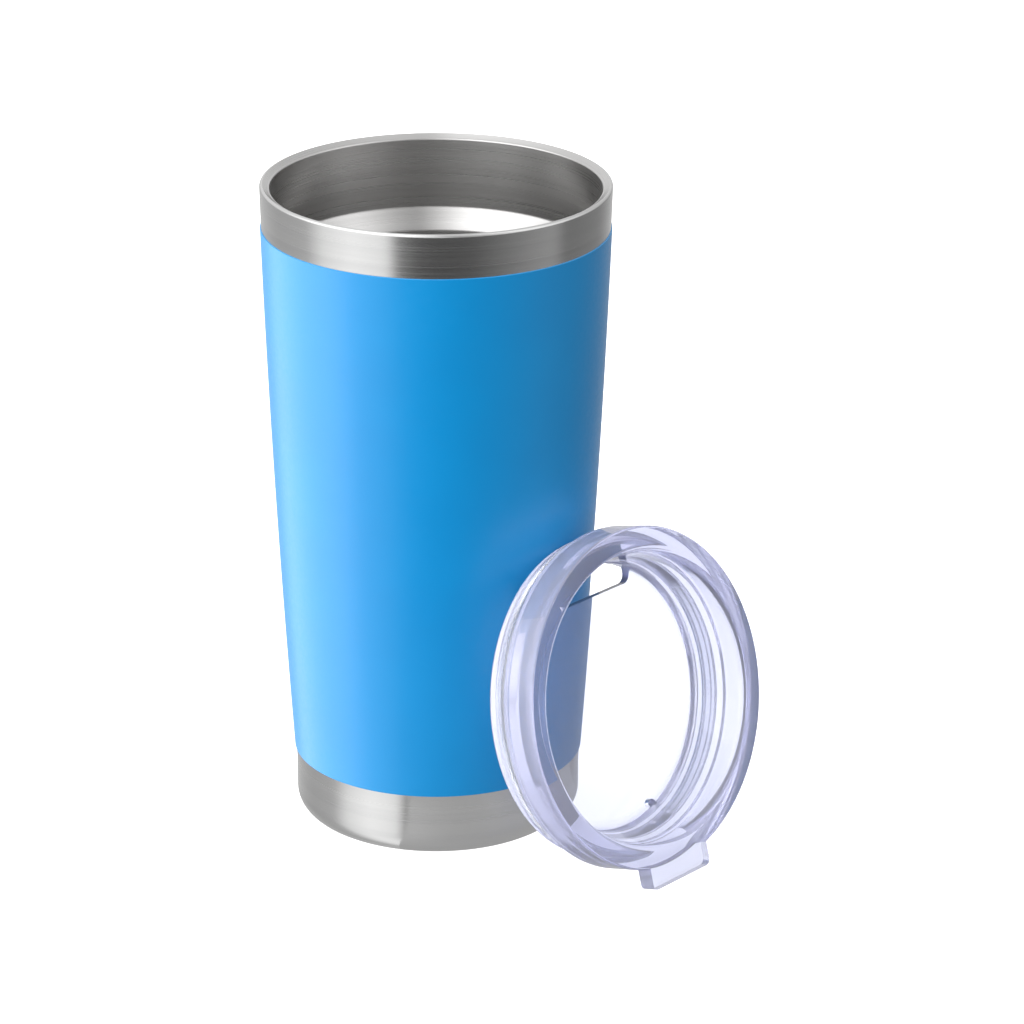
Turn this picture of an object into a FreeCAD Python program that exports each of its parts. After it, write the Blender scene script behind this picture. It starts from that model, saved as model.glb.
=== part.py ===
import FreeCAD, Part
import Sketcher
import math
import os
import re

# Vacuum-insulated steel tumbler with a clear press-in lid.
#
# The tumbler stands on the XY plane, with its axis on Z and the origin at the middle of its base.
# The lid is off: it stands on its pull tab and leans its skirt against the tumbler's wall.
# Sizes are in millimetres and angles in degrees, and all of them live in the sheet called Sizes.

doc = FreeCAD.newDocument("Tumbler")

SIZES = {
    # tumbler, outside
    "height": 170.0,
    "rim_radius": 44.5,
    "rim_round": 0.8,
    "side_bow_radius": 3846.0,
    "side_bow_height": 288.0,
    "side_foot": 17.2,
    "base_radius": 36.5,
    "base_straight": 13.5,
    "base_round": 5.5,
    "shell_wall": 0.6,
    "coat_top": 158.7,
    "coat_bottom": 17.5,
    "coat_thickness": 0.28,
    "coat_edge": 0.2,
    # liner, measured on its wet side
    "liner_wall": 0.5,
    "mouth_radius": 41.85,
    "mouth_depth": 19.5,
    "lip_drop": 0.9,
    "lip_round": 0.5,
    "weld_depth": 1.1,
    "shoulder_rise": 5.2,
    "shoulder_radius": 38.5,
    "shoulder_easing": 0.35,
    "cup_foot_radius": 31.4,
    "cup_floor": 13.0,
    "cup_corner": 8.0,
    # insulation and closure
    "foil_gap": 0.3,
    "foil_thickness": 0.15,
    "foil_bottom": 24.0,
    "foil_top": 141.0,
    "plate_height": 7.4,
    "plate_thickness": 0.8,
    "plate_flange": 1.9,
    "dimple_radius": 7.0,
    "dimple_depth": 1.6,
    "seal_hole_radius": 1.6,
    "seal_head_radius": 3.0,
    "seal_head_height": 0.9,
    "getter_offset": 18.0,
    "getter_radius": 4.0,
    "getter_height": 2.4,
    "clip_thickness": 0.3,
    "clip_lip": 1.2,
    "cap_radius": 30.5,
    "cap_thickness": 0.8,
    "cap_groove_radius": 25.0,
    "cap_groove_width": 3.0,
    "cap_groove_depth": 0.4,
    # lid, with its top face at zero
    "flange_radius": 43.5,
    "flange_height": 9.8,
    "flange_round": 0.6,
    "top_inner_radius": 38.9,
    "bevel_radius": 37.5,
    "bevel_depth": 0.9,
    "bead_radius": 37.1,
    "bead_depth": 2.5,
    "recess_foot_radius": 34.4,
    "recess_corner": 2.6,
    "skirt_radius": 40.8,
    "skirt_round": 0.8,
    "lid_height": 17.2,
    "panel_thickness": 2.2,
    "groove_top": 11.2,
    "groove_width": 3.6,
    "groove_depth": 1.3,
    "rib_reach": 0.5,
    "rib_width": 0.9,
    "tab_half_width": 11.2,
    "tab_reach": 47.7,
    "tab_thickness": 4.3,
    "tab_root": 40.5,
    "tab_round": 1.6,
    "sip_chord": 25.6,
    "sip_arc_radius": 33.9,
    "sip_half_width": 17.2,
    "sip_round": 2.4,
    "vent_across": 9.6,
    "vent_along": 31.8,
    "vent_radius": 1.3,
    # how the lid leans
    "lid_bearing": -41.9,
    "lid_lean": 14.6,
    "lid_foot_distance": 76.0,
    "lid_foot_offset": 4.4,
}

sheet = doc.addObject("Spreadsheet::Sheet", "Sizes")
for row, (alias, value) in enumerate(SIZES.items(), start=1):
    sheet.set(f"A{row}", alias)
    sheet.set(f"B{row}", str(value))
    sheet.setAlias(f"B{row}", alias)
doc.recompute()


def sized(words):
    """An expression on the sheet: each alias in the words gets the sheet's name before it."""
    return re.sub("[a-z_]+", lambda found: f"Sizes.{found[0]}" if found[0] in SIZES else found[0], words)


gauge = doc.addObject("App::FeaturePython", "Gauge")
gauge.addProperty("App::PropertyFloat", "Reading")


def value_of(words):
    """The number that an expression on the sheet comes to, read from the gauge bound to it."""
    gauge.setExpression("Reading", sized(words))
    gauge.recompute()
    return gauge.Reading


def side_at(height, offset="0"):
    """The outer wall's radius at a height: one long arc, bowed gently outwards."""
    middle = "(sqrt(side_bow_radius ^ 2 - (side_bow_height - height) ^ 2) - rim_radius)"
    below = f"(side_bow_height - ({height}))"
    return f"(sqrt((side_bow_radius + {offset}) ^ 2 - {below} ^ 2) - {middle})"


def plane_of(body, role):
    return next(plane for plane in body.Origin.OriginFeatures if plane.Role == role)


def new_body(label):
    body = doc.addObject("PartDesign::Body", label)
    body.Label = label
    return body


def arc_middle(start, end, radius, side):
    """The middle of an arc from start to end that bulges to the left (+1) or right (-1)."""
    chord = end - start
    sagitta = radius - math.sqrt(radius ** 2 - (chord.Length / 2) ** 2)
    left = FreeCAD.Vector(-chord.y, chord.x, 0).normalize()
    return (start + end) / 2 + left * sagitta * side


def blank_sketch(body, name, role):
    sketch = body.newObject("Sketcher::SketchObject", name)
    sketch.AttachmentSupport = [(plane_of(body, role), "")]
    sketch.MapMode = "FlatFace"
    return sketch


def constrain(sketch, kind, places, words):
    """Adds one driving size to a sketch and ties it to the sheet."""
    size = sketch.addConstraint(Sketcher.Constraint(kind, *places, value_of(words)))
    sketch.setExpression(f"Constraints[{size}]", sized(words))


def draw_hole(body, name, across, along, radius):
    """A sketch of one round hole on the body's XY plane."""
    sketch = blank_sketch(body, name, "XY_Plane")
    centre = FreeCAD.Vector(value_of(across), value_of(along), 0)
    hole = sketch.addGeometry(Part.Circle(centre, FreeCAD.Vector(0, 0, 1), value_of(radius)))
    constrain(sketch, "Radius", (hole,), radius)
    constrain(sketch, "DistanceX", (-1, 1, hole, 3), across)
    constrain(sketch, "DistanceY", (-1, 1, hole, 3), along)
    return sketch


def draw(body, name, role, outline):
    """A closed sketch through the outline's points, every size bound to the sheet.

    A point is (across, up) with a straight line from the point before it, or
    (across, up, radius, side) with an arc that bulges to the left (+1) or right (-1).
    """
    sketch = blank_sketch(body, name, role)
    places = [FreeCAD.Vector(value_of(point[0]), value_of(point[1]), 0) for point in outline]
    ends = []
    for index, point in enumerate(outline):
        start, end = places[index - 1], places[index]
        if len(point) == 2:
            edge = sketch.addGeometry(Part.LineSegment(start, end))
        else:
            middle = arc_middle(start, end, value_of(point[2]), point[3])
            edge = sketch.addGeometry(Part.Arc(start, middle, end))
            constrain(sketch, "Radius", (edge,), point[2])
        gaps = [(sketch.getPoint(edge, end) - start).Length for end in (1, 2)]
        first = 1 + gaps.index(min(gaps))
        ends.append((edge, first, 3 - first))
    for index, (edge, first, last) in enumerate(ends):
        following = ends[(index + 1) % len(ends)]
        sketch.addConstraint(Sketcher.Constraint("Coincident", edge, last, following[0], following[1]))
        constrain(sketch, "DistanceX", (-1, 1, edge, last), outline[index][0])
        constrain(sketch, "DistanceY", (-1, 1, edge, last), outline[index][1])
    return sketch


def turned(label, outline):
    """A body turned about its own Z axis from an outline of (radius, height) points."""
    body = new_body(label)
    sketch = draw(body, f"{label}_outline", "XZ_Plane", outline)
    turn = body.newObject("PartDesign::Revolution", f"{label}_turn")
    turn.Profile = (sketch, [""])
    turn.ReferenceAxis = (sketch, ["V_Axis"])
    turn.Angle = 360
    return body


def bound(feature, **sizes):
    """Ties a feature's properties to expressions on the sheet."""
    for name, words in sizes.items():
        feature.setExpression(name, sized(words))
    return feature


# ---------------------------------------------------------------- tumbler, outside

SHELL_INNER = "base_radius - shell_wall"
WELD_RADIUS = side_at("height - weld_depth", "- shell_wall")


def outer_shell():
    """The outer wall: rounded foot, short straight base, bowed side and the outside of the rim."""
    return turned("outer_shell", [
        ("cap_radius", "0"),
        ("base_radius - base_round", "0"),
        ("base_radius", "base_round", "base_round", -1),
        ("base_radius", "base_straight"),
        (side_at("side_foot"), "side_foot"),
        (side_at("height - rim_round"), "height - rim_round", "side_bow_radius", -1),
        ("rim_radius - rim_round", "height", "rim_round", -1),
        (WELD_RADIUS, "height - weld_depth"),
        (side_at("side_foot", "- shell_wall"), "side_foot", "side_bow_radius - shell_wall", 1),
        (SHELL_INNER, "base_straight"),
        (SHELL_INNER, "base_round"),
        ("base_radius - base_round", "shell_wall", "base_round - shell_wall", 1),
        ("cap_radius", "shell_wall"),
    ])


def powder_coat():
    """The coat, on the shell's own arc, with softly rounded edges above and below."""
    flank = "coat_thickness - coat_edge"
    return turned("powder_coat", [
        (side_at("coat_bottom"), "coat_bottom", "side_bow_radius", 1),
        (side_at("coat_bottom", flank), "coat_bottom"),
        (side_at("coat_bottom + coat_edge", "coat_thickness"), "coat_bottom + coat_edge", "coat_edge", -1),
        (side_at("coat_top - coat_edge", "coat_thickness"), "coat_top - coat_edge",
         "side_bow_radius + coat_thickness", -1),
        (side_at("coat_top", flank), "coat_top", "coat_edge", -1),
        (side_at("coat_top"), "coat_top"),
    ])


def base_cap():
    """The outer bottom plate, set flush in the shell's foot, with one pressed ring."""
    inner = "cap_groove_radius - cap_groove_width / 2"
    outer = "cap_groove_radius + cap_groove_width / 2"
    return turned("base_cap", [
        ("0", "0"),
        (inner, "0"),
        (f"{inner} + cap_groove_depth", "cap_groove_depth"),
        (f"{outer} - cap_groove_depth", "cap_groove_depth"),
        (outer, "0"),
        ("cap_radius", "0"),
        ("cap_radius", "cap_thickness"),
        (outer, "cap_thickness"),
        (f"{outer} - cap_groove_depth", "cap_thickness + cap_groove_depth"),
        (f"{inner} + cap_groove_depth", "cap_thickness + cap_groove_depth"),
        (inner, "cap_thickness"),
        ("0", "cap_thickness"),
    ])


# ---------------------------------------------------------------- tumbler, inside

SHOULDER_TOP = "height - mouth_depth"
SHOULDER_FOOT = "height - mouth_depth - shoulder_rise"
CUP_KNEE = "cup_floor + cup_corner"


def cup_at(height, offset):
    """The dry side of the tapered cup wall at a height, moved outwards by an offset."""
    slope = f"(shoulder_radius - cup_foot_radius) / ({SHOULDER_FOOT} - ({CUP_KNEE}))"
    return f"cup_foot_radius + liner_wall + {offset} + {slope} * ({height} - ({CUP_KNEE}))"


def inner_liner():
    """The wet cup: flat floor, tapered wall, shoulder, straight mouth and the lip that slopes inwards."""
    step = "(mouth_radius - shoulder_radius)"
    slant = f"sqrt({step} ^ 2 + shoulder_rise ^ 2)"
    inwards = f"shoulder_easing * {step} / {slant}"
    downwards = f"shoulder_easing * shoulder_rise / {slant}"
    bend = f"shoulder_easing / tan(atan({step} / shoulder_rise) / 2)"
    return turned("inner_liner", [
        ("0", "cup_floor - liner_wall"),
        ("cup_foot_radius - cup_corner", "cup_floor - liner_wall"),
        ("cup_foot_radius + liner_wall", CUP_KNEE, "cup_corner + liner_wall", -1),
        ("shoulder_radius + liner_wall", SHOULDER_FOOT),
        ("mouth_radius + liner_wall", SHOULDER_TOP),
        ("mouth_radius + liner_wall", "height - weld_depth - liner_wall"),
        (WELD_RADIUS, "height - weld_depth"),
        ("rim_radius - rim_round", "height"),
        ("mouth_radius + lip_round", "height - lip_drop"),
        ("mouth_radius", "height - lip_drop - lip_round", "lip_round", -1),
        ("mouth_radius", f"{SHOULDER_TOP} + shoulder_easing"),
        (f"mouth_radius - {inwards}", f"{SHOULDER_TOP} - {downwards}", bend, 1),
        (f"shoulder_radius + {inwards}", f"{SHOULDER_FOOT} + {downwards}"),
        ("shoulder_radius", f"{SHOULDER_FOOT} - shoulder_easing", bend, -1),
        ("cup_foot_radius", CUP_KNEE),
        ("cup_foot_radius - cup_corner", "cup_floor", "cup_corner", 1),
        ("0", "cup_floor"),
    ])


def insulation_foil():
    """The foil sleeve that stands just off the cup's dry side, inside the vacuum."""
    outside = "foil_gap + foil_thickness"
    return turned("insulation_foil", [
        (cup_at("foil_bottom", "foil_gap"), "foil_bottom"),
        (cup_at("foil_bottom", outside), "foil_bottom"),
        (cup_at("foil_top", outside), "foil_top"),
        (cup_at("foil_top", "foil_gap"), "foil_top"),
    ])


def vacuum_base():
    """The plate that closes the vacuum space, with a turned-down flange and a raised dimple with a hole."""
    flange_inner = f"{SHELL_INNER} - plate_thickness"
    slope_end = "dimple_radius - dimple_depth"
    return turned("vacuum_base", [
        ("seal_hole_radius", "plate_height + dimple_depth"),
        (slope_end, "plate_height + dimple_depth"),
        ("dimple_radius", "plate_height"),
        (flange_inner, "plate_height"),
        (flange_inner, "plate_height - plate_flange"),
        (SHELL_INNER, "plate_height - plate_flange"),
        (SHELL_INNER, "plate_height + plate_thickness"),
        ("dimple_radius", "plate_height + plate_thickness"),
        (slope_end, "plate_height + dimple_depth + plate_thickness"),
        ("seal_hole_radius", "plate_height + dimple_depth + plate_thickness"),
    ])


def vacuum_seal():
    """The solder plug that fills the plate's hole, with its bead in the dimple below."""
    bead_top = "plate_height + dimple_depth"
    return turned("vacuum_seal", [
        ("0", f"{bead_top} - seal_head_height"),
        ("seal_head_radius", f"{bead_top} - seal_head_height"),
        ("seal_head_radius", bead_top),
        ("seal_hole_radius", bead_top),
        ("seal_hole_radius", f"{bead_top} + plate_thickness"),
        ("0", f"{bead_top} + plate_thickness"),
    ])


def cylinder(name, radius, length, bottom):
    """A round block on the vacuum plate, at the getter's place."""
    block = doc.addObject("Part::Cylinder", name)
    bound(block, Radius=radius, Height=length)
    block.setExpression("Placement.Base.x", sized("getter_offset"))
    block.setExpression("Placement.Base.z", sized(f"plate_height + plate_thickness + {bottom}"))
    return block


def getter():
    """The pill that takes up stray gas."""
    pill = cylinder("getter", "getter_radius", "getter_height", "clip_thickness")
    pill.Label = "getter"
    return pill


def getter_cup():
    """The pressed cup that holds the pill on the plate."""
    cup = doc.addObject("Part::Cut", "getter_cup")
    cup.Label = "getter_cup"
    cup.Base = cylinder("cup_blank", "getter_radius + clip_thickness", "clip_thickness + clip_lip", "0")
    cup.Tool = cylinder("cup_hollow", "getter_radius", "getter_height", "clip_thickness")
    return cup


# ---------------------------------------------------------------- lid

PANEL_TOP = "panel_thickness - lid_height"


def lean(body):
    """Stands a lid piece on the tab's back edge and leans it on the tumbler's wall."""
    reach = "(lid_foot_distance - tab_reach * sin(lid_lean) + tab_thickness * cos(lid_lean))"
    across = f"{reach} * cos(lid_bearing) - lid_foot_offset * sin(lid_bearing)"
    along = f"{reach} * sin(lid_bearing) + lid_foot_offset * cos(lid_bearing)"
    up = "tab_reach * cos(lid_lean) + tab_thickness * sin(lid_lean)"
    turn = "rotation(90 + lid_bearing; 0; 90 - lid_lean)"
    body.setExpression("Placement", sized(f"placement(vector({across}; {along}; {up}); {turn})"))
    return body


def cut_through(body, sketch, name):
    """Cuts a sketch drawn on the lid's top down through the panel, and makes sure that it cuts."""
    doc.recompute()
    before = body.Shape.Volume
    pocket = body.newObject("PartDesign::Pocket", name)
    pocket.Profile = (sketch, [""])
    pocket.Type = "ThroughAll"
    doc.recompute()
    if body.Shape.Volume >= before:
        raise RuntimeError(f"{name} cut nothing")


def lid_body():
    """Flange, skirt with a gasket groove, sunk panel, pull tab, sip opening and vent, in one moulding."""
    wall = "skirt_radius - groove_depth"
    groove_foot = "0 - groove_top - groove_width"
    body = turned("lid_body", [
        ("0", "0 - lid_height"),
        ("skirt_radius - skirt_round", "0 - lid_height"),
        ("skirt_radius", "skirt_round - lid_height", "skirt_round", -1),
        ("skirt_radius", groove_foot),
        (wall, groove_foot),
        (wall, "0 - groove_top"),
        ("skirt_radius", "0 - groove_top"),
        ("skirt_radius", "0 - flange_height"),
        ("flange_radius - flange_round", "0 - flange_height"),
        ("flange_radius", "flange_round - flange_height", "flange_round", -1),
        ("flange_radius", "0 - flange_round"),
        ("flange_radius - flange_round", "0", "flange_round", -1),
        ("top_inner_radius", "0"),
        ("bevel_radius", "0 - bevel_depth"),
        ("bead_radius", "0 - bead_depth"),
        ("recess_foot_radius", f"{PANEL_TOP} + recess_corner"),
        ("recess_foot_radius - recess_corner", PANEL_TOP, "recess_corner", 1),
        ("0", PANEL_TOP),
    ])
    tab = body.newObject("PartDesign::Pad", "pull_tab")
    tab.Profile = (draw(body, "tab_outline", "XY_Plane", [
        ("0 - tab_half_width", "0 - tab_root"),
        ("0 - tab_half_width", "tab_round - tab_reach"),
        ("tab_round - tab_half_width", "0 - tab_reach", "tab_round", -1),
        ("tab_half_width - tab_round", "0 - tab_reach"),
        ("tab_half_width", "tab_round - tab_reach", "tab_round", -1),
        ("tab_half_width", "0 - tab_root"),
    ]), [""])
    tab.Reversed = True
    bound(tab, Length="tab_thickness")
    shoulder = "sqrt(sip_arc_radius ^ 2 - sip_half_width ^ 2)"
    cut_through(body, draw(body, "sip_outline", "XY_Plane", [
        ("sip_round - sip_half_width", "sip_chord", "sip_round", -1),
        ("sip_half_width - sip_round", "sip_chord"),
        ("sip_half_width", "sip_chord + sip_round", "sip_round", -1),
        ("sip_half_width", shoulder),
        ("0 - sip_half_width", shoulder, "sip_arc_radius", -1),
        ("0 - sip_half_width", "sip_chord + sip_round"),
    ]), "sip_opening")
    vent = draw_hole(body, "vent_outline", "vent_across", "0 - vent_along", "vent_radius")
    cut_through(body, vent, "vent_hole")
    return lean(body)


def lid_gasket():
    """The ring that fills the skirt's groove and seals with two round ribs."""
    wall = "skirt_radius - groove_depth"
    foot = "0 - groove_top - groove_width"
    rib = "(rib_width ^ 2 + rib_reach ^ 2) / (2 * rib_reach)"
    return lean(turned("lid_gasket", [
        (wall, foot),
        ("skirt_radius", foot),
        ("skirt_radius", f"{foot} + 2 * rib_width", rib, -1),
        ("skirt_radius", "0 - groove_top - 2 * rib_width"),
        ("skirt_radius", "0 - groove_top", rib, -1),
        (wall, "0 - groove_top"),
    ]))


# ---------------------------------------------------------------- build, check and write

pieces = [make() for make in (
    outer_shell, powder_coat, base_cap, inner_liner, insulation_foil, vacuum_base, vacuum_seal,
    getter, getter_cup, lid_body, lid_gasket)]
doc.recompute()

for item in doc.Objects:
    if {"Invalid", "Error"} & set(item.State):
        raise RuntimeError(f"{item.Name} did not build: {item.State}")
for piece in pieces:
    if piece.Shape.isNull() or not piece.Shape.isValid():
        raise RuntimeError(f"{piece.Label} has no sound shape")

os.makedirs("parts", exist_ok=True)
for piece in pieces:
    piece.Shape.exportStep(f"parts/{piece.Label}.step")
    print(f"{piece.Label}: {piece.Shape.Volume:.0f} mm3, solids {len(piece.Shape.Solids)}")
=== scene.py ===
import math

import bmesh
import bpy
from mathutils import Matrix, Vector


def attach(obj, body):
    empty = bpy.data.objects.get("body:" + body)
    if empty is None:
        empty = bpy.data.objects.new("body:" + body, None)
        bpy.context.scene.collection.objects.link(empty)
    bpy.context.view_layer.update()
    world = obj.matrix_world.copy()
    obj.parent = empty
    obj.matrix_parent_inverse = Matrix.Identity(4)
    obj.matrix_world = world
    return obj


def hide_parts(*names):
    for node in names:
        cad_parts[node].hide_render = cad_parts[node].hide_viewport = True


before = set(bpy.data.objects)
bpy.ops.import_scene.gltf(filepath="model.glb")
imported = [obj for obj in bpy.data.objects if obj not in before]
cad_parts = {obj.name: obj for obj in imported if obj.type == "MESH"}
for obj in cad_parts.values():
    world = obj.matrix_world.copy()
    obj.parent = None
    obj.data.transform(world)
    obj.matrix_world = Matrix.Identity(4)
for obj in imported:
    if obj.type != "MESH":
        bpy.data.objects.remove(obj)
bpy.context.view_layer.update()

# ---------------------------------------------------------------- sizes and the lid's place

# Sizes in millimetres, the same as the CAD's; the meshes are made in metres.
MM = 0.001
SEGMENTS = 360
ARC_STEPS = 10
LONG_ARC_STEPS = 48

HEIGHT, RIM_RADIUS, RIM_ROUND = 170.0, 44.5, 0.8
BOW_RADIUS, BOW_HEIGHT, SIDE_FOOT = 3846.0, 288.0, 17.2
BASE_RADIUS, BASE_STRAIGHT, BASE_ROUND, CAP_RADIUS = 36.5, 13.5, 5.5, 30.5
SHELL_WALL, WELD_DEPTH = 0.6, 1.1
COAT_TOP, COAT_BOTTOM, COAT_THICKNESS, COAT_EDGE = 158.7, 17.5, 0.28, 0.2
LINER_WALL, MOUTH_RADIUS, MOUTH_DEPTH, LIP_DROP, LIP_ROUND = 0.5, 41.85, 19.5, 0.9, 0.5
SHOULDER_RISE, SHOULDER_RADIUS, SHOULDER_EASING = 5.2, 38.5, 0.35
CUP_FOOT_RADIUS, CUP_FLOOR, CUP_CORNER = 31.4, 13.0, 8.0
FLANGE_RADIUS, FLANGE_HEIGHT, FLANGE_ROUND = 43.5, 9.8, 0.6
TOP_INNER, BEVEL_RADIUS, BEVEL_DEPTH, BEAD_RADIUS, BEAD_DEPTH = 38.9, 37.5, 0.9, 37.1, 2.5
RECESS_FOOT, RECESS_CORNER, PANEL_THICKNESS = 34.4, 2.6, 2.2
SKIRT_RADIUS, SKIRT_ROUND, LID_HEIGHT = 40.8, 0.8, 17.2
GROOVE_TOP, GROOVE_WIDTH, GROOVE_DEPTH, RIB_REACH, RIB_WIDTH = 11.2, 3.6, 1.3, 0.5, 0.9
TAB_HALF, TAB_REACH, TAB_THICKNESS, TAB_ROOT, TAB_ROUND = 11.2, 47.7, 4.3, 40.5, 1.6
SIP_CHORD, SIP_ARC, SIP_HALF, SIP_ROUND = 25.6, 33.9, 17.2, 2.4
VENT_ACROSS, VENT_ALONG, VENT_RADIUS = 9.6, 31.8, 1.3
LID_BEARING, LID_LEAN, LID_FOOT_DISTANCE, LID_FOOT_OFFSET = -41.9, 14.6, 76.0, 4.4
GASKET_CLEARANCE = 0.03

# Steps round a small hole, how far a cut runs past the lid, and the radius that counts as on the axis.
HOLE_STEPS = 48
CUT_MARGIN = 1
ON_AXIS = 1e-9

# Mesh points closer than this, in metres, become one.
MERGE_DISTANCE = 1e-8


def lid_pose():
    """Where the lid's top middle is as it leans, and which way it faces."""
    bearing, lean = math.radians(LID_BEARING), math.radians(LID_LEAN)
    reach = LID_FOOT_DISTANCE - TAB_REACH * math.sin(lean) + TAB_THICKNESS * math.cos(lean)
    middle = Vector((reach * math.cos(bearing) - LID_FOOT_OFFSET * math.sin(bearing),
                     reach * math.sin(bearing) + LID_FOOT_OFFSET * math.cos(bearing),
                     TAB_REACH * math.cos(lean) + TAB_THICKNESS * math.sin(lean)))
    turn = Matrix.Rotation(math.pi / 2 + bearing, 4, "Z") @ Matrix.Rotation(math.pi / 2 - lean, 4, "X")
    return Matrix.Translation(middle * MM) @ turn


# ---------------------------------------------------------------- node helpers

# Where a noise texture's output mostly lies.
NOISE_LOW, NOISE_HIGH = 0.3, 0.7


def new_material(name):
    """A material with a Principled shader, and its nodes and links."""
    material = bpy.data.materials.new(name)
    material.use_nodes = True
    tree = material.node_tree
    return material, tree, tree.nodes["Principled BSDF"]


def set_inputs(node, **values):
    for name, value in values.items():
        node.inputs[name.replace("_", " ")].default_value = value


def add(tree, kind, **settings):
    node = tree.nodes.new(kind)
    for name, value in settings.items():
        setattr(node, name, value)
    return node


def object_space(tree, stretch):
    """Object coordinates, scaled along each axis."""
    place = add(tree, "ShaderNodeTexCoord")
    mapping = add(tree, "ShaderNodeMapping")
    mapping.inputs["Scale"].default_value = stretch
    tree.links.new(place.outputs["Object"], mapping.inputs["Vector"])
    return mapping.outputs["Vector"]


def noise(tree, stretch, detail=3.0):
    node = add(tree, "ShaderNodeTexNoise")
    set_inputs(node, Scale=1.0, Detail=detail)
    tree.links.new(object_space(tree, stretch), node.inputs["Vector"])
    return node.outputs["Fac"]


def spread(tree, source, low, high):
    """The noise, spread from low to high."""
    node = add(tree, "ShaderNodeMapRange")
    set_inputs(node, From_Min=NOISE_LOW, From_Max=NOISE_HIGH, To_Min=low, To_Max=high)
    tree.links.new(source, node.inputs["Value"])
    return node.outputs["Result"]


def colour_blend(tree, source, dark, light):
    """A colour that runs from dark to light with the noise."""
    ramp = add(tree, "ShaderNodeValToRGB")
    for stop, place, colour in zip(ramp.color_ramp.elements, (NOISE_LOW, NOISE_HIGH), (dark, light)):
        stop.position = place
        stop.color = (*colour, 1)
    tree.links.new(source, ramp.inputs["Fac"])
    return ramp.outputs["Color"]


def bump(tree, shader, source, depth, strength=1.0):
    node = add(tree, "ShaderNodeBump")
    set_inputs(node, Distance=depth, Strength=strength)
    tree.links.new(source, node.inputs["Height"])
    tree.links.new(node.outputs["Normal"], shader.inputs["Normal"])


# ---------------------------------------------------------------- materials

# A quarter turn, which draws highlights out across the brushing.
ACROSS_THE_BRUSHING = 0.25

# Depths of surface relief, and the radii between which the lid turns from clear to hazy, in metres.
SCRATCH_DEPTH, PEEL_DEPTH, MILL_DEPTH, GRAIN_DEPTH = 3e-6, 1.2e-5, 2e-5, 8e-5
CLEAR_PANEL_RADIUS, HAZY_WALL_RADIUS = 0.0315, 0.0345
CLEAR_TRANSMISSION, HAZY_TRANSMISSION = 0.95, 0.79

# How far roughness varies either side of its mean.
BRUSHED_SPREAD, MILL_SPREAD = 0.04, 0.08


def brushed_steel(name, dark, light, roughness, turning):
    """Steel brushed round the Z axis: fine level lines, and highlights drawn out up and down."""
    material, tree, shader = new_material(name)
    lines = noise(tree, (3, 3, 2600), 4.0)
    bands = noise(tree, (1.5, 1.5, 260), 3.0)
    set_inputs(shader, Metallic=1.0, Anisotropic=turning, Anisotropic_Rotation=ACROSS_THE_BRUSHING)
    tree.links.new(colour_blend(tree, bands, dark, light), shader.inputs["Base Color"])
    tree.links.new(spread(tree, lines, roughness - BRUSHED_SPREAD, roughness + BRUSHED_SPREAD),
                   shader.inputs["Roughness"])
    tangent = add(tree, "ShaderNodeTangent", direction_type="RADIAL", axis="Z")
    tree.links.new(tangent.outputs["Tangent"], shader.inputs["Tangent"])
    bump(tree, shader, lines, SCRATCH_DEPTH)
    return material


def blue_coat():
    """Smooth baked coat with a faint orange peel and a soft sheen."""
    material, tree, shader = new_material("blue_coat")
    peel = noise(tree, (900, 900, 900), 2.0)
    patches = noise(tree, (40, 40, 40), 2.0)
    set_inputs(shader, IOR=1.45, Coat_Weight=0.25, Coat_Roughness=0.38, Coat_IOR=1.45)
    tree.links.new(colour_blend(tree, patches, (0.000, 0.208, 0.500), (0.000, 0.222, 0.525)),
                   shader.inputs["Base Color"])
    tree.links.new(spread(tree, peel, 0.32, 0.40), shader.inputs["Roughness"])
    bump(tree, shader, peel, PEEL_DEPTH, strength=0.5)
    return material


def clear_plastic():
    """Clear moulding, polished on its panel and hazier outside it; its tint gathers in thick walls."""
    material, tree, shader = new_material("clear_lid")
    wear = noise(tree, (90, 90, 90), 3.0)
    set_inputs(shader, Base_Color=(0.80, 0.82, 0.91, 1), IOR=1.49)
    tree.links.new(spread(tree, wear, 0.0, 0.03), shader.inputs["Roughness"])
    place = add(tree, "ShaderNodeTexCoord")
    upright = add(tree, "ShaderNodeMapping", vector_type="TEXTURE")
    set_inputs(upright, Location=lid_pose().to_translation(), Rotation=lid_pose().to_euler("XYZ"))
    flat = add(tree, "ShaderNodeVectorMath", operation="MULTIPLY")
    flat.inputs[1].default_value = (1, 1, 0)
    radius = add(tree, "ShaderNodeVectorMath", operation="LENGTH")
    clear = add(tree, "ShaderNodeMapRange")
    set_inputs(clear, From_Min=CLEAR_PANEL_RADIUS, From_Max=HAZY_WALL_RADIUS,
               To_Min=CLEAR_TRANSMISSION, To_Max=HAZY_TRANSMISSION)
    tree.links.new(place.outputs["Object"], upright.inputs["Vector"])
    tree.links.new(upright.outputs["Vector"], flat.inputs[0])
    tree.links.new(flat.outputs["Vector"], radius.inputs[0])
    tree.links.new(radius.outputs["Value"], clear.inputs["Value"])
    tree.links.new(clear.outputs["Result"], shader.inputs["Transmission Weight"])
    tint = add(tree, "ShaderNodeVolumeAbsorption")
    set_inputs(tint, Color=(0.25, 0.26, 0.62, 1), Density=42.0)
    tree.links.new(tint.outputs["Volume"], tree.nodes["Material Output"].inputs["Volume"])
    return material


def silicone():
    material, tree, shader = new_material("clear_gasket")
    haze = noise(tree, (300, 300, 300), 2.0)
    set_inputs(shader, Base_Color=(0.90, 0.92, 0.98, 1), IOR=1.41, Transmission_Weight=0.9)
    tree.links.new(spread(tree, haze, 0.15, 0.25), shader.inputs["Roughness"])
    return material


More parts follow.
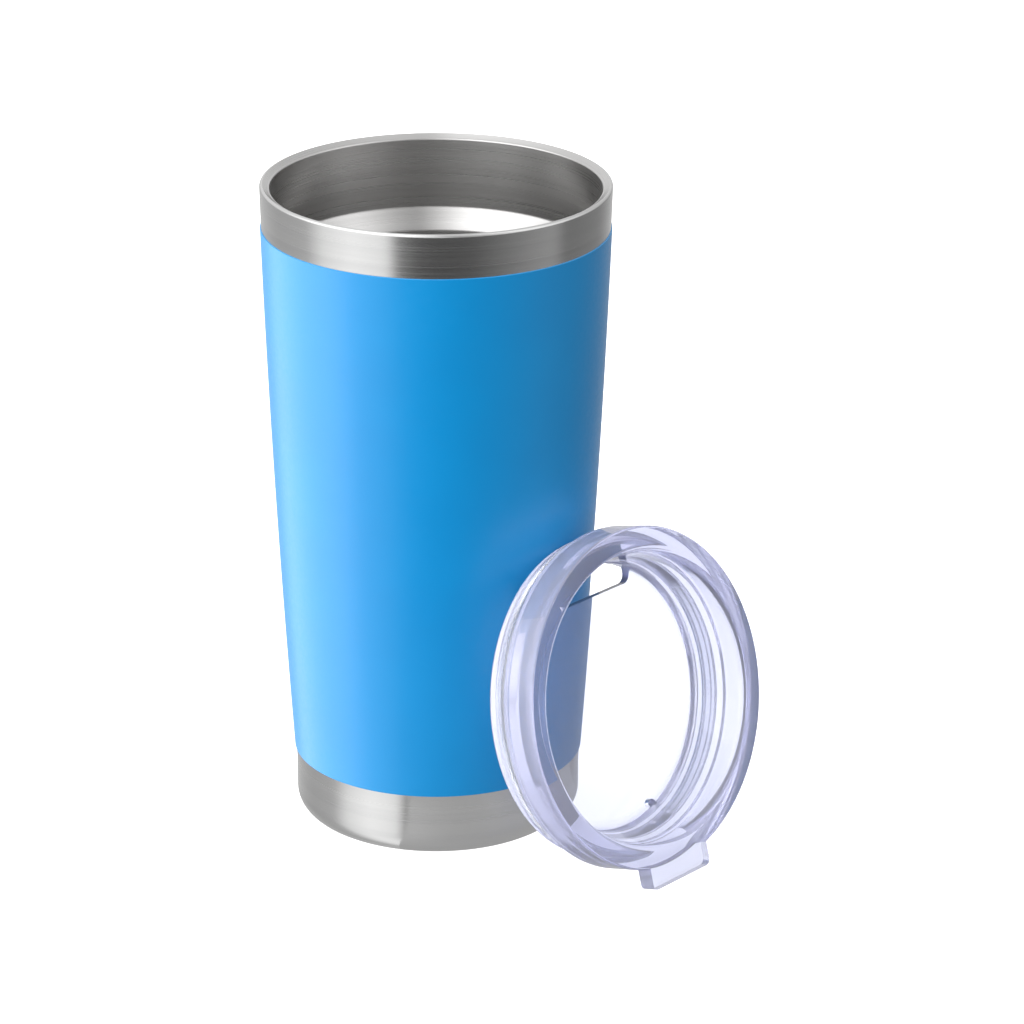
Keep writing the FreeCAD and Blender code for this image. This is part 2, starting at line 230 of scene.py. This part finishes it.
def plain_metal(name, dark, light, roughness):
    """Unseen inner metal, with mill marks."""
    material, tree, shader = new_material(name)
    marks = noise(tree, (150, 900, 150), 4.0)
    set_inputs(shader, Metallic=1.0)
    tree.links.new(colour_blend(tree, marks, dark, light), shader.inputs["Base Color"])
    tree.links.new(spread(tree, marks, roughness - MILL_SPREAD, roughness + MILL_SPREAD),
                   shader.inputs["Roughness"])
    bump(tree, shader, marks, MILL_DEPTH)
    return material


def getter_grain():
    material, tree, shader = new_material("getter_grey")
    grain = noise(tree, (2500, 2500, 2500), 5.0)
    tree.links.new(colour_blend(tree, grain, (0.10, 0.10, 0.11), (0.34, 0.34, 0.35)),
                   shader.inputs["Base Color"])
    tree.links.new(spread(tree, grain, 0.75, 0.95), shader.inputs["Roughness"])
    bump(tree, shader, grain, GRAIN_DEPTH)
    return material


def solder_glass():
    material, tree, shader = new_material("solder_glass")
    swirl = noise(tree, (500, 500, 500), 4.0)
    tree.links.new(colour_blend(tree, swirl, (0.10, 0.07, 0.05), (0.26, 0.20, 0.15)),
                   shader.inputs["Base Color"])
    tree.links.new(spread(tree, swirl, 0.08, 0.2), shader.inputs["Roughness"])
    return material


shell_steel = brushed_steel("brushed_shell", (0.57, 0.57, 0.57), (0.64, 0.64, 0.635), 0.24, 0.8)
liner_steel = brushed_steel("satin_liner", (0.52, 0.515, 0.51), (0.60, 0.595, 0.59), 0.29, 0.75)
mill_steel = plain_metal("plain_steel", (0.40, 0.40, 0.41), (0.52, 0.52, 0.53), 0.4)
foil = plain_metal("bright_foil", (0.72, 0.72, 0.74), (0.86, 0.86, 0.88), 0.22)

FINISH = {
    "outer_shell": shell_steel,
    "base_cap": shell_steel,
    "inner_liner": liner_steel,
    "powder_coat": blue_coat(),
    "insulation_foil": foil,
    "vacuum_base": mill_steel,
    "getter_cup": mill_steel,
    "getter": getter_grain(),
    "vacuum_seal": solder_glass(),
    "lid_body": clear_plastic(),
    "lid_gasket": silicone(),
}
for node, material in FINISH.items():
    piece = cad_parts[node]
    piece.data.materials.clear()
    piece.data.materials.append(material)

# ---------------------------------------------------------------- fine pieces

SHARP_ANGLE = math.radians(32)


def side_radius(height, offset=0.0):
    """The outer wall's radius at a height, moved outwards by an offset."""
    middle = math.sqrt(BOW_RADIUS ** 2 - (BOW_HEIGHT - HEIGHT) ** 2) - RIM_RADIUS
    return math.sqrt((BOW_RADIUS + offset) ** 2 - (BOW_HEIGHT - height) ** 2) - middle


def outline(*corners):
    """A closed outline. A corner is (across, up), or (across, up, radius, side) at the end of an arc."""
    points = []
    for index, corner in enumerate(corners):
        end = Vector(corner[:2])
        if len(corner) == 4:
            start, (radius, side) = Vector(corners[index - 1][:2]), corner[2:]
            chord = end - start
            left = Vector((-chord.y, chord.x)).normalized() * side
            inward = math.sqrt(radius ** 2 - (chord.length / 2) ** 2)
            centre = (start + end) / 2 - left * inward
            steps = LONG_ARC_STEPS if radius > HEIGHT else ARC_STEPS
            sweep = (start - centre).angle_signed(end - centre)
            for step in range(1, steps):
                turn = Matrix.Rotation(-sweep * step / steps, 2)
                points.append(centre + turn @ (start - centre))
        points.append(end)
    return points


def finished(name, mesh):
    """An object of the mesh, smooth but for its edges, and free of stray inside-out faces."""
    shape = bmesh.new()
    shape.from_mesh(mesh)
    bmesh.ops.remove_doubles(shape, verts=shape.verts, dist=MERGE_DISTANCE)
    bmesh.ops.recalc_face_normals(shape, faces=shape.faces)
    shape.to_mesh(mesh)
    shape.free()
    mesh.shade_smooth()
    mesh.set_sharp_from_angle(angle=SHARP_ANGLE)
    piece = bpy.data.objects.new(name, mesh)
    bpy.context.scene.collection.objects.link(piece)
    weighted = piece.modifiers.new("weighted", "WEIGHTED_NORMAL")
    weighted.keep_sharp = True
    return piece


def lathe_mesh(name, points):
    """The outline turned about Z, with one point where it meets the axis."""
    vertices, rings = [], []
    for point in points:
        count = 1 if point.x < ON_AXIS else SEGMENTS
        rings.append(range(len(vertices), len(vertices) + count))
        for step in range(count):
            angle = math.tau * step / SEGMENTS
            vertices.append((point.x * math.cos(angle) * MM, point.x * math.sin(angle) * MM, point.y * MM))
    faces = []
    for low, high in zip(rings, rings[1:] + rings[:1]):
        if len(low) == len(high) == 1:
            continue
        for step in range(SEGMENTS):
            after = (step + 1) % SEGMENTS
            corners = [low[step % len(low)], low[after % len(low)],
                       high[after % len(high)], high[step % len(high)]]
            faces.append(list(dict.fromkeys(corners)))
    mesh = bpy.data.meshes.new(name)
    mesh.from_pydata(vertices, [], faces)
    return mesh


def prism(name, points, low, high):
    """The outline, drawn on the lid's top, as a block from one height to another."""
    count = len(points)
    vertices = [(point.x * MM, point.y * MM, level * MM) for level in (low, high) for point in points]
    faces = [list(range(count)), list(range(count, 2 * count))]
    faces += [(step, (step + 1) % count, count + (step + 1) % count, count + step) for step in range(count)]
    mesh = bpy.data.meshes.new(name)
    mesh.from_pydata(vertices, [], faces)
    return finished(name, mesh)


def combined(base, *steps):
    """The base's mesh after each (operation, block) in turn; the blocks are used up."""
    for operation, block in steps:
        change = base.modifiers.new(operation, "BOOLEAN")
        change.operation = operation
        change.solver = "EXACT"
        change.object = block
    base.modifiers.remove(base.modifiers["weighted"])
    bpy.context.view_layer.update()
    mesh = bpy.data.meshes.new_from_object(base.evaluated_get(bpy.context.evaluated_depsgraph_get()))
    for used in (base, *(block for _, block in steps)):
        bpy.data.objects.remove(used)
    return mesh


def shell_outline():
    weld = side_radius(HEIGHT - WELD_DEPTH, -SHELL_WALL)
    return outline(
        (CAP_RADIUS, 0), (BASE_RADIUS - BASE_ROUND, 0), (BASE_RADIUS, BASE_ROUND, BASE_ROUND, -1),
        (BASE_RADIUS, BASE_STRAIGHT), (side_radius(SIDE_FOOT), SIDE_FOOT),
        (side_radius(HEIGHT - RIM_ROUND), HEIGHT - RIM_ROUND, BOW_RADIUS, -1),
        (RIM_RADIUS - RIM_ROUND, HEIGHT, RIM_ROUND, -1), (weld, HEIGHT - WELD_DEPTH),
        (side_radius(SIDE_FOOT, -SHELL_WALL), SIDE_FOOT, BOW_RADIUS - SHELL_WALL, 1),
        (BASE_RADIUS - SHELL_WALL, BASE_STRAIGHT), (BASE_RADIUS - SHELL_WALL, BASE_ROUND),
        (BASE_RADIUS - BASE_ROUND, SHELL_WALL, BASE_ROUND - SHELL_WALL, 1), (CAP_RADIUS, SHELL_WALL))


def coat_outline():
    flank = COAT_THICKNESS - COAT_EDGE
    return outline(
        (side_radius(COAT_BOTTOM), COAT_BOTTOM, BOW_RADIUS, 1),
        (side_radius(COAT_BOTTOM, flank), COAT_BOTTOM),
        (side_radius(COAT_BOTTOM + COAT_EDGE, COAT_THICKNESS), COAT_BOTTOM + COAT_EDGE, COAT_EDGE, -1),
        (side_radius(COAT_TOP - COAT_EDGE, COAT_THICKNESS), COAT_TOP - COAT_EDGE,
         BOW_RADIUS + COAT_THICKNESS, -1),
        (side_radius(COAT_TOP, flank), COAT_TOP, COAT_EDGE, -1),
        (side_radius(COAT_TOP), COAT_TOP))


def liner_outline():
    top, foot, knee = HEIGHT - MOUTH_DEPTH, HEIGHT - MOUTH_DEPTH - SHOULDER_RISE, CUP_FLOOR + CUP_CORNER
    step = MOUTH_RADIUS - SHOULDER_RADIUS
    slant = math.hypot(step, SHOULDER_RISE)
    inwards, downwards = SHOULDER_EASING * step / slant, SHOULDER_EASING * SHOULDER_RISE / slant
    bend = SHOULDER_EASING / math.tan(math.atan(step / SHOULDER_RISE) / 2)
    weld = side_radius(HEIGHT - WELD_DEPTH, -SHELL_WALL)
    return outline(
        (0, CUP_FLOOR - LINER_WALL), (CUP_FOOT_RADIUS - CUP_CORNER, CUP_FLOOR - LINER_WALL),
        (CUP_FOOT_RADIUS + LINER_WALL, knee, CUP_CORNER + LINER_WALL, -1),
        (SHOULDER_RADIUS + LINER_WALL, foot), (MOUTH_RADIUS + LINER_WALL, top),
        (MOUTH_RADIUS + LINER_WALL, HEIGHT - WELD_DEPTH - LINER_WALL), (weld, HEIGHT - WELD_DEPTH),
        (RIM_RADIUS - RIM_ROUND, HEIGHT), (MOUTH_RADIUS + LIP_ROUND, HEIGHT - LIP_DROP),
        (MOUTH_RADIUS, HEIGHT - LIP_DROP - LIP_ROUND, LIP_ROUND, -1), (MOUTH_RADIUS, top + SHOULDER_EASING),
        (MOUTH_RADIUS - inwards, top - downwards, bend, 1),
        (SHOULDER_RADIUS + inwards, foot + downwards),
        (SHOULDER_RADIUS, foot - SHOULDER_EASING, bend, -1), (CUP_FOOT_RADIUS, knee),
        (CUP_FOOT_RADIUS - CUP_CORNER, CUP_FLOOR, CUP_CORNER, 1), (0, CUP_FLOOR))


def lid_outline():
    wall, foot = SKIRT_RADIUS - GROOVE_DEPTH, -GROOVE_TOP - GROOVE_WIDTH
    panel = PANEL_THICKNESS - LID_HEIGHT
    return outline(
        (0, -LID_HEIGHT), (SKIRT_RADIUS - SKIRT_ROUND, -LID_HEIGHT),
        (SKIRT_RADIUS, SKIRT_ROUND - LID_HEIGHT, SKIRT_ROUND, -1),
        (SKIRT_RADIUS, foot), (wall, foot), (wall, -GROOVE_TOP), (SKIRT_RADIUS, -GROOVE_TOP),
        (SKIRT_RADIUS, -FLANGE_HEIGHT), (FLANGE_RADIUS - FLANGE_ROUND, -FLANGE_HEIGHT),
        (FLANGE_RADIUS, FLANGE_ROUND - FLANGE_HEIGHT, FLANGE_ROUND, -1),
        (FLANGE_RADIUS, -FLANGE_ROUND), (FLANGE_RADIUS - FLANGE_ROUND, 0, FLANGE_ROUND, -1),
        (TOP_INNER, 0), (BEVEL_RADIUS, -BEVEL_DEPTH), (BEAD_RADIUS, -BEAD_DEPTH),
        (RECESS_FOOT, panel + RECESS_CORNER),
        (RECESS_FOOT - RECESS_CORNER, panel, RECESS_CORNER, 1), (0, panel))


def gasket_outline():
    """The gasket, drawn a hair inside its groove so that no two clear faces coincide."""
    wall = SKIRT_RADIUS - GROOVE_DEPTH + GASKET_CLEARANCE
    top, foot = -GROOVE_TOP - GASKET_CLEARANCE, -GROOVE_TOP - GROOVE_WIDTH + GASKET_CLEARANCE
    rib = (RIB_WIDTH ** 2 + RIB_REACH ** 2) / (2 * RIB_REACH)
    return outline(
        (wall, foot), (SKIRT_RADIUS, foot), (SKIRT_RADIUS, foot + 2 * RIB_WIDTH, rib, -1),
        (SKIRT_RADIUS, top - 2 * RIB_WIDTH), (SKIRT_RADIUS, top, rib, -1), (wall, top))


def lid_shape():
    """The moulding: the turned body, with its tab joined on and its two holes cut through the panel."""
    tab = prism("tab", outline(
        (-TAB_HALF, -TAB_ROOT), (-TAB_HALF, TAB_ROUND - TAB_REACH),
        (TAB_ROUND - TAB_HALF, -TAB_REACH, TAB_ROUND, -1), (TAB_HALF - TAB_ROUND, -TAB_REACH),
        (TAB_HALF, TAB_ROUND - TAB_REACH, TAB_ROUND, -1), (TAB_HALF, -TAB_ROOT)), -TAB_THICKNESS, 0)
    shoulder = math.sqrt(SIP_ARC ** 2 - SIP_HALF ** 2)
    sip = prism("sip", outline(
        (SIP_ROUND - SIP_HALF, SIP_CHORD, SIP_ROUND, -1), (SIP_HALF - SIP_ROUND, SIP_CHORD),
        (SIP_HALF, SIP_CHORD + SIP_ROUND, SIP_ROUND, -1), (SIP_HALF, shoulder),
        (-SIP_HALF, shoulder, SIP_ARC, -1), (-SIP_HALF, SIP_CHORD + SIP_ROUND)),
        -LID_HEIGHT - CUT_MARGIN, CUT_MARGIN)
    ring = [math.tau * step / HOLE_STEPS for step in range(HOLE_STEPS)]
    vent = prism("vent", [Vector((VENT_ACROSS + VENT_RADIUS * math.cos(turn),
                                  VENT_RADIUS * math.sin(turn) - VENT_ALONG)) for turn in ring],
                 -LID_HEIGHT - CUT_MARGIN, CUT_MARGIN)
    body = finished("blank", lathe_mesh("blank", lid_outline()))
    return combined(body, ("UNION", tab), ("DIFFERENCE", sip), ("DIFFERENCE", vent))


def place_piece(name, mesh, node, body):
    """Puts the fine piece, with the node's finish, in the CAD node's place."""
    piece = finished(name, mesh)
    piece.data.materials.append(FINISH[node])
    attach(piece, body)
    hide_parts(node)


lid_mesh, gasket_mesh = lid_shape(), lathe_mesh("fine_gasket", gasket_outline())
for mesh in (lid_mesh, gasket_mesh):
    mesh.transform(lid_pose())
for name, turned_outline, node, slot in (
    ("fine_shell", shell_outline(), "outer_shell", "brushed_shell"),
    ("fine_coat", coat_outline(), "powder_coat", "blue_coat"),
    ("fine_liner", liner_outline(), "inner_liner", "satin_liner"),
):
    place_piece(name, lathe_mesh(name, turned_outline), node, "tumbler")
place_piece("fine_lid", lid_mesh, "lid_body", "lid")
place_piece("fine_gasket", gasket_mesh, "lid_gasket", "lid")

# ---------------------------------------------------------------- studio

FLOOR_HALF = 12.0

floor_mesh = bpy.data.meshes.new("floor")
corners = [(x * FLOOR_HALF, y * FLOOR_HALF, 0) for x, y in ((-1, -1), (1, -1), (1, 1), (-1, 1))]
floor_mesh.from_pydata(corners, [], [(0, 1, 2, 3)])
floor = bpy.data.objects.new("floor", floor_mesh)
bpy.context.scene.collection.objects.link(floor)
floor_material, _, floor_shader = new_material("floor")
set_inputs(floor_shader, Base_Color=(0.45, 0.45, 0.45, 1), Roughness=0.9,
           Emission_Color=(1, 1, 1, 1), Emission_Strength=1.1)
floor_mesh.materials.append(floor_material)
floor.visible_glossy = False
floor.visible_diffuse = False
floor.visible_shadow = False


def area_light(name, power, size, place, target):
    data = bpy.data.lights.new(name, "AREA")
    data.shape = "RECTANGLE"
    data.size, data.size_y = size
    data.energy = power
    light = bpy.data.objects.new(name, data)
    light.location = place
    light.rotation_euler = (Vector(target) - Vector(place)).to_track_quat("-Z", "Y").to_euler()
    bpy.context.scene.collection.objects.link(light)
    return light


for light in (
    area_light("overhead", 28, (2.4, 2.4), (0, 0.2, 2.4), (0, 0.2, 0)),
    area_light("key", 5, (1.0, 1.0), (-1.3, -0.75, 0.9), (0, 0, 0.1)),
    area_light("fill", 10, (1.0, 0.8), (-0.45, -1.55, 0.4), (0, 0, 0.09)),
):
    light.visible_glossy = False

# A lamp on the left that lights the coat alone, for the soft sheen down its left side.
coat_only = bpy.data.collections.new("coat_only")
coat_only.objects.link(bpy.data.objects["fine_coat"])
sheen = area_light("sheen", 24, (2.2, 1.6), (-1.45, 0.25, -0.2), (0, 0, 0.09))
sheen.light_linking.receiver_collection = coat_only

# A pale card just below the floor, round the foot's front and right, seen only in reflections.
CARD_RADIUS, CARD_LEVEL = 0.16, -0.001
CARD_BEARINGS = [math.radians(degrees) for degrees in range(-17, 104, 10)]
card_mesh = bpy.data.meshes.new("foot_card")
card_rim = [(CARD_RADIUS * math.sin(turn), -CARD_RADIUS * math.cos(turn), CARD_LEVEL)
            for turn in CARD_BEARINGS]
card_mesh.from_pydata([(0, 0, CARD_LEVEL)] + card_rim, [], [list(range(len(card_rim) + 1))])
card = bpy.data.objects.new("foot_card", card_mesh)
bpy.context.scene.collection.objects.link(card)
card_material, _, card_shader = new_material("foot_card")
set_inputs(card_shader, Base_Color=(0, 0, 0, 1), Emission_Color=(1, 1, 1, 1), Emission_Strength=0.5)
card_mesh.materials.append(card_material)
card.visible_camera = card.visible_diffuse = card.visible_transmission = card.visible_shadow = False


# The colour mix node's sockets, which share their names with those of its other data types.
MIX_FACTOR, MIX_A, MIX_B, MIX_RESULT = 0, 6, 7, 2

# Elevations (as the sine) between which the low light gives way to the high light.
LOW_LIGHT_TOP, HIGH_LIGHT_FOOT = -0.05, 0.2


def bearing_light(tree, bearing, levels):
    """A grey that follows the bearing through (degrees, brightness) levels."""
    ramp = add(tree, "ShaderNodeValToRGB")
    stops = ramp.color_ramp.elements
    while len(stops) < len(levels):
        stops.new(0.5)
    for stop, (degrees, level) in zip(stops, levels):
        stop.position = (degrees + 180) / 360
        stop.color = (level, level, level, 1)
    tree.links.new(bearing, ramp.inputs["Fac"])
    return ramp.outputs["Color"]


def studio_world():
    """Soft light by direction. A bearing is 0 in front and positive to the right.

    Low down, where the upright steel looks, stands a bright bank on the front left and a dim room;
    above, the light is soft all round and stronger on the left.
    """
    world = bpy.data.worlds.new("studio")
    world.use_nodes = True
    tree = world.node_tree
    place = add(tree, "ShaderNodeTexCoord")
    split = add(tree, "ShaderNodeSeparateXYZ")
    flip = add(tree, "ShaderNodeMath", operation="MULTIPLY")
    flip.inputs[1].default_value = -1.0
    turn = add(tree, "ShaderNodeMath", operation="ARCTAN2")
    bearing = add(tree, "ShaderNodeMapRange")
    set_inputs(bearing, From_Min=-math.pi, From_Max=math.pi)
    rise = add(tree, "ShaderNodeMapRange", interpolation_type="SMOOTHSTEP")
    set_inputs(rise, From_Min=LOW_LIGHT_TOP, From_Max=HIGH_LIGHT_FOOT)
    blend = add(tree, "ShaderNodeMix", data_type="RGBA")
    tree.links.new(place.outputs["Generated"], split.inputs["Vector"])
    tree.links.new(split.outputs["Y"], flip.inputs[0])
    tree.links.new(split.outputs["X"], turn.inputs[0])
    tree.links.new(flip.outputs["Value"], turn.inputs[1])
    tree.links.new(turn.outputs["Value"], bearing.inputs["Value"])
    tree.links.new(split.outputs["Z"], rise.inputs["Value"])
    low = bearing_light(tree, bearing.outputs["Result"], (
        (-180, 0.70), (-125, 0.50), (-94, 0.55), (-80, 1.10), (-57, 1.35), (-33, 1.15), (-25, 0.20),
        (-12, 0.07), (0, 0.06), (24, 0.10), (52, 0.23), (84, 0.40), (94, 0.20), (135, 0.30), (180, 0.75)))
    high = bearing_light(tree, bearing.outputs["Result"], (
        (-180, 0.90), (-120, 1.10), (-85, 2.20), (-30, 2.20), (-6, 1.20), (16, 0.50), (36, 0.75),
        (70, 1.60), (100, 1.10), (135, 0.70), (180, 0.90)))
    tree.links.new(rise.outputs["Result"], blend.inputs[MIX_FACTOR])
    tree.links.new(low, blend.inputs[MIX_A])
    tree.links.new(high, blend.inputs[MIX_B])
    tree.links.new(blend.outputs[MIX_RESULT], tree.nodes["Background"].inputs["Color"])
    return world


bpy.context.scene.world = studio_world()

# ---------------------------------------------------------------- camera

# Metres, radians and millimetres.
CAMERA_DISTANCE, CAMERA_HEIGHT = 1.138, 0.516
CAMERA_PITCH, CAMERA_YAW, CAMERA_ROLL = 0.36486, 0.01714, 0.00573
CAMERA_LENS, CAMERA_SENSOR = 166.1, 36.0

# Enough light paths to pass through both walls of the clear lid and its gasket.
LIGHT_BOUNCES = 24

camera_data = bpy.data.cameras.new("camera")
camera_data.lens = CAMERA_LENS
camera_data.sensor_width = CAMERA_SENSOR
camera = bpy.data.objects.new("camera", camera_data)
camera.matrix_world = (
    Matrix.Translation((0, -CAMERA_DISTANCE, CAMERA_HEIGHT))
    @ Matrix.Rotation(-CAMERA_YAW, 4, "Z")
    @ Matrix.Rotation(math.pi / 2 - CAMERA_PITCH, 4, "X")
    @ Matrix.Rotation(CAMERA_ROLL, 4, "Z")
)
bpy.context.scene.collection.objects.link(camera)
bpy.context.scene.camera = camera
bpy.context.scene.view_settings.view_transform = "Standard"
bpy.context.scene.cycles.max_bounces = LIGHT_BOUNCES
bpy.context.scene.cycles.transmission_bounces = LIGHT_BOUNCES
